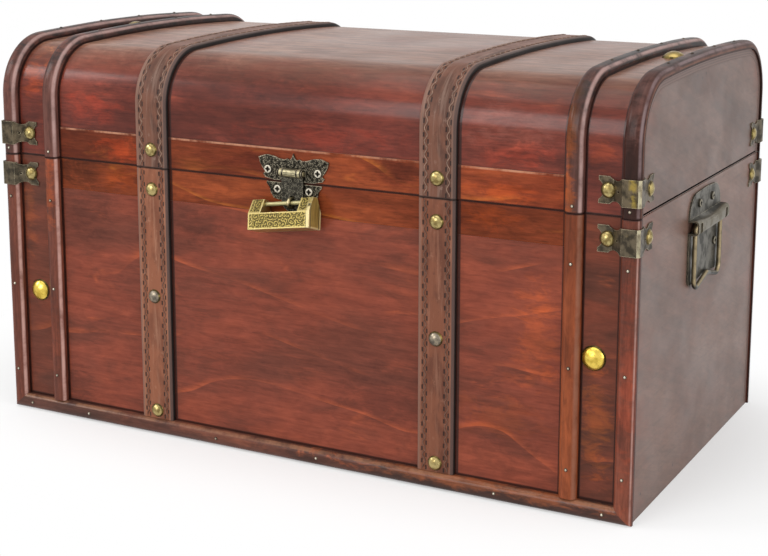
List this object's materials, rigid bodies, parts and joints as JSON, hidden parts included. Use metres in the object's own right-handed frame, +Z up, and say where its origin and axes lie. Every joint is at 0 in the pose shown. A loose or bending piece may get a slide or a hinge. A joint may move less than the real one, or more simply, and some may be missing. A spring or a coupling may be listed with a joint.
{
  "type": "sea chest",
  "caption": "Wooden treasure chest with a rounded lid, bent-wood hoops, leather straps, corner brackets, a butterfly hasp with a sliding-bar padlock, and drop handles on the ends.",
  "frame": {"origin": "middle of the flat underside of the floor board, midway between the end boards and between the front and back", "axes": "+X along the front to the viewer's right as one faces the hasp, -Y out of the front, +Z up"},
  "size_m": [0.4922, 0.2831, 0.2784],
  "materials": {
    "lacquered_wood": "glossy lacquer over red-brown plywood",
    "end_wood": "thin satin stain",
    "trim_wood": "dark glossy lacquer",
    "plain_wood": "bare plywood",
    "strap_leather": "satin, stitched along both edges",
    "antique_bronze": "dark patina, bright on the edges",
    "worn_brass": "worn semi-gloss",
    "nail_brass": "polished",
    "lock_brass": "engraved, semi-gloss",
    "lock_steel": "spring steel"
  },
  "bodies": {
    "base": {"base_back_moulding": "trim_wood", "base_back_panel": "lacquered_wood", "base_back_rail": "lacquered_wood", "base_bosses": "nail_brass", "base_corner_brackets": "antique_bronze", "base_dome_nails": "nail_brass", "base_floor": "plain_wood", "base_front_moulding": "trim_wood", "base_front_panel": "lacquered_wood", "base_front_rail": "lacquered_wood", "base_hoop_back_left": "trim_wood", "base_hoop_back_right": "trim_wood", "base_hoop_front_left": "trim_wood", "base_hoop_front_right": "trim_wood", "base_left_end": "end_wood", "base_pins": "nail_brass", "base_right_end": "end_wood", "base_rim_back_left": "trim_wood", "base_rim_back_right": "trim_wood", "base_rim_front_left": "trim_wood", "base_rim_front_right": "trim_wood", "base_screws": "worn_brass", "base_strap_back_left": "strap_leather", "base_strap_back_right": "strap_leather", "base_strap_front_left": "strap_leather", "base_strap_front_right": "strap_leather", "handle_plate_left": "antique_bronze", "handle_plate_right": "antique_bronze", "handle_screws": "worn_brass", "hasp_lower_plate": "antique_bronze", "hasp_staple": "worn_brass", "hinge_base_leaves": "antique_bronze", "hinge_pins": "worn_brass"},
    "lid": {"hasp_pin": "worn_brass", "hasp_upper_plate": "antique_bronze", "hinge_lid_leaves": "antique_bronze", "lid_back_rail": "lacquered_wood", "lid_bosses": "nail_brass", "lid_corner_brackets": "antique_bronze", "lid_dome_nails": "nail_brass", "lid_front_rail": "lacquered_wood", "lid_hoop_left": "trim_wood", "lid_hoop_right": "trim_wood", "lid_left_end": "end_wood", "lid_pins": "nail_brass", "lid_right_end": "end_wood", "lid_rim_left": "trim_wood", "lid_rim_right": "trim_wood", "lid_screws": "worn_brass", "lid_skin": "lacquered_wood", "lid_strap_left": "strap_leather", "lid_strap_right": "strap_leather"},
    "tongue": {"hasp_tongue": "antique_bronze"},
    "padlock": {"padlock_body": "lock_brass"},
    "padlock_bar": {"padlock_bolt": "lock_brass", "padlock_springs": "lock_steel"},
    "left_bail": {"handle_bail_left": "worn_brass"},
    "right_bail": {"handle_bail_right": "worn_brass"}
  },
  "joints": [
    {"name": "lid_hinge", "type": "hinge", "parent": "base", "child": "lid", "pos_m": [0, 0.133, 0.191], "axis": [-1, 0, 0], "range_deg": [0, 105]},
    {"name": "hasp_hinge", "type": "hinge", "parent": "lid", "child": "tongue", "pos_m": [0.002, -0.1338, 0.1979], "axis": [-1, 0, 0], "range_deg": [0, 160]},
    {"name": "padlock_swing", "type": "hinge", "parent": "base", "child": "padlock", "pos_m": [0.002, -0.1348, 0.178], "axis": [-0.9903, 0, -0.1392], "range_deg": [0, 60]},
    {"name": "padlock_bar_slide", "type": "slide", "parent": "padlock", "child": "padlock_bar", "axis": [0.9903, 0, 0.1392], "range_m": [0, 0.0335]},
    {"name": "right_bail_swing", "type": "hinge", "parent": "base", "child": "right_bail", "pos_m": [0.2418, 0, 0.1665], "axis": [0, -1, 0], "range_deg": [0, 95]},
    {"name": "left_bail_swing", "type": "hinge", "parent": "base", "child": "left_bail", "pos_m": [-0.2418, 0, 0.1665], "axis": [0, 1, 0], "range_deg": [0, 95]}
  ]
}
